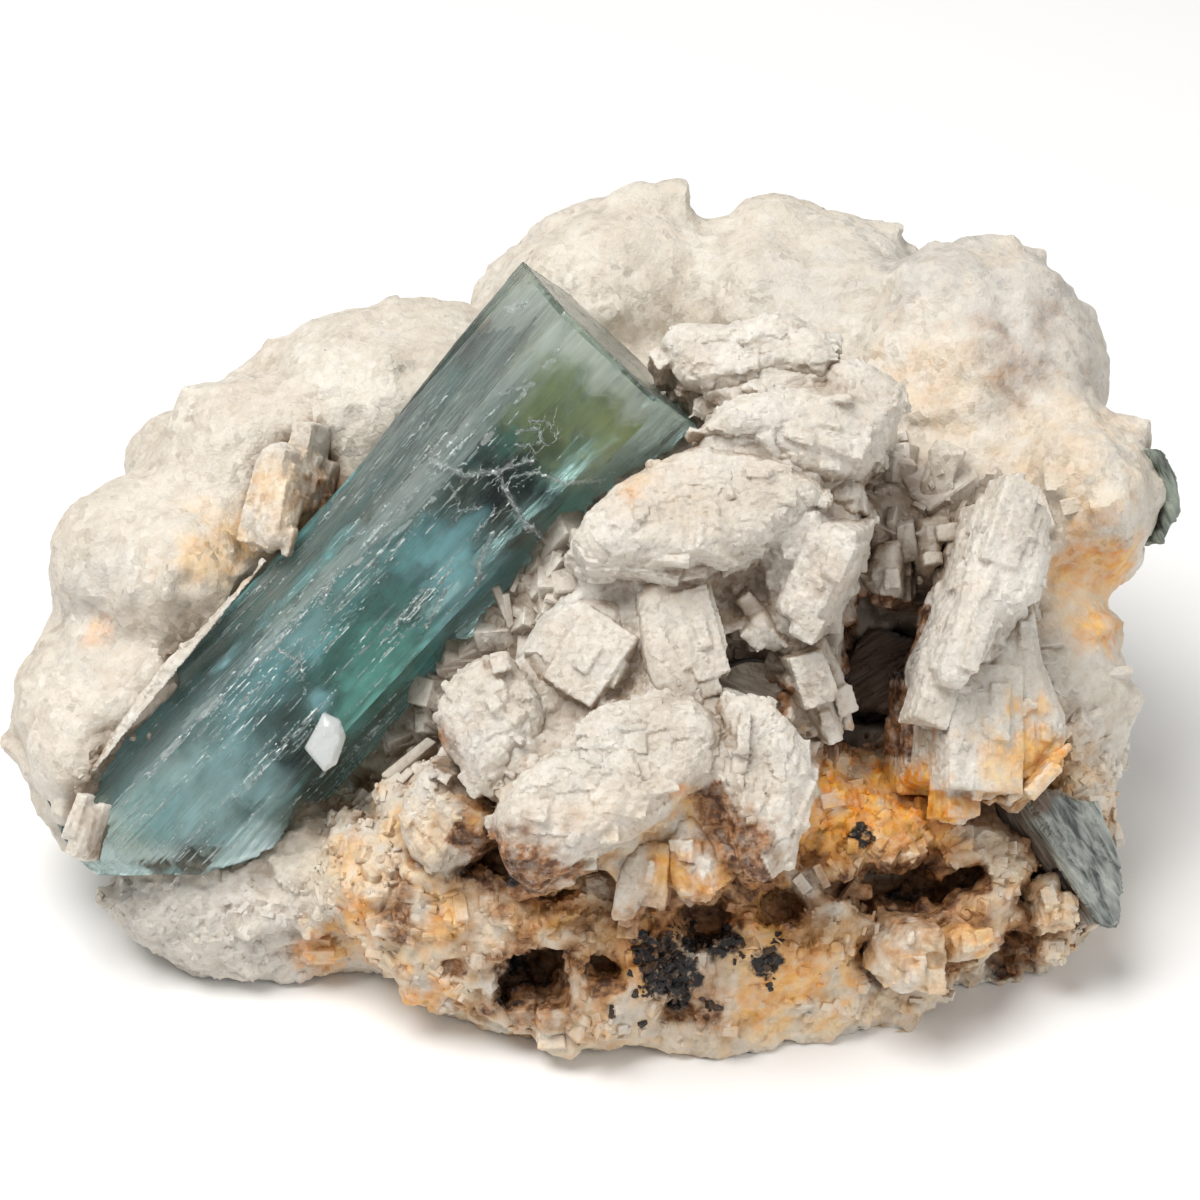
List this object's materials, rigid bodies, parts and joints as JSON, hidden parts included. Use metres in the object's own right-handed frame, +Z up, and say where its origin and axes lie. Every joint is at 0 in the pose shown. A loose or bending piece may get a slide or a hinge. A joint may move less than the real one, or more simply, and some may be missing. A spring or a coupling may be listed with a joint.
{
  "type": "mineral specimen",
  "caption": "Hexagonal blue-green aquamarine prism lying on a rust-stained lump of white albite feldspar crystals with grey mica.",
  "frame": {"origin": "middle of the object's length and depth, on the level cut that it stands on", "axes": "+X along the lump's length, to the right as the crystal's display side is seen; +Y away from that side; +Z up"},
  "size_m": [0.1049, 0.0762, 0.0571],
  "materials": {
    "aquamarine": "clear to milky blue-green beryl, glossy, finely striated along its length",
    "quartz": "clear, glossy, broken",
    "feldspar": "warm white, satin, sugary and slightly translucent",
    "matrix": "cream to white, matt, iron-stained orange and brown low on the front",
    "mica": "grey-green, satin, in thin leaves"
  },
  "bodies": {
    "root": {"aquamarine": "aquamarine", "quartz_chip": "quartz", "matrix": "matrix", "keel_slab": "feldspar", "right_lobe": "feldspar", "split_slab": "feldspar", "knob_crystal": "feldspar", "square_tooth": "feldspar", "tooth_blade": "feldspar", "stacked_blades": "feldspar", "long_prism": "feldspar", "tall_blade": "feldspar", "side_block": "feldspar", "shoulder_slab": "feldspar", "left_block": "feldspar", "stub_prism": "feldspar", "thin_upright": "feldspar", "wedge_prism": "feldspar", "crest_block": "feldspar", "lower_stick": "feldspar", "step_stick": "feldspar", "column_slab": "feldspar", "thin_wedge": "feldspar", "base_cube_left": "feldspar", "base_cube_right": "feldspar", "left_rail": "feldspar", "foot_chip": "feldspar", "back_block_left": "feldspar", "back_block_right": "feldspar", "ledge_block": "feldspar", "white_spike": "feldspar", "mica_book": "mica", "rim_mica": "mica", "cave_mica": "mica"}
  },
  "joints": []
}
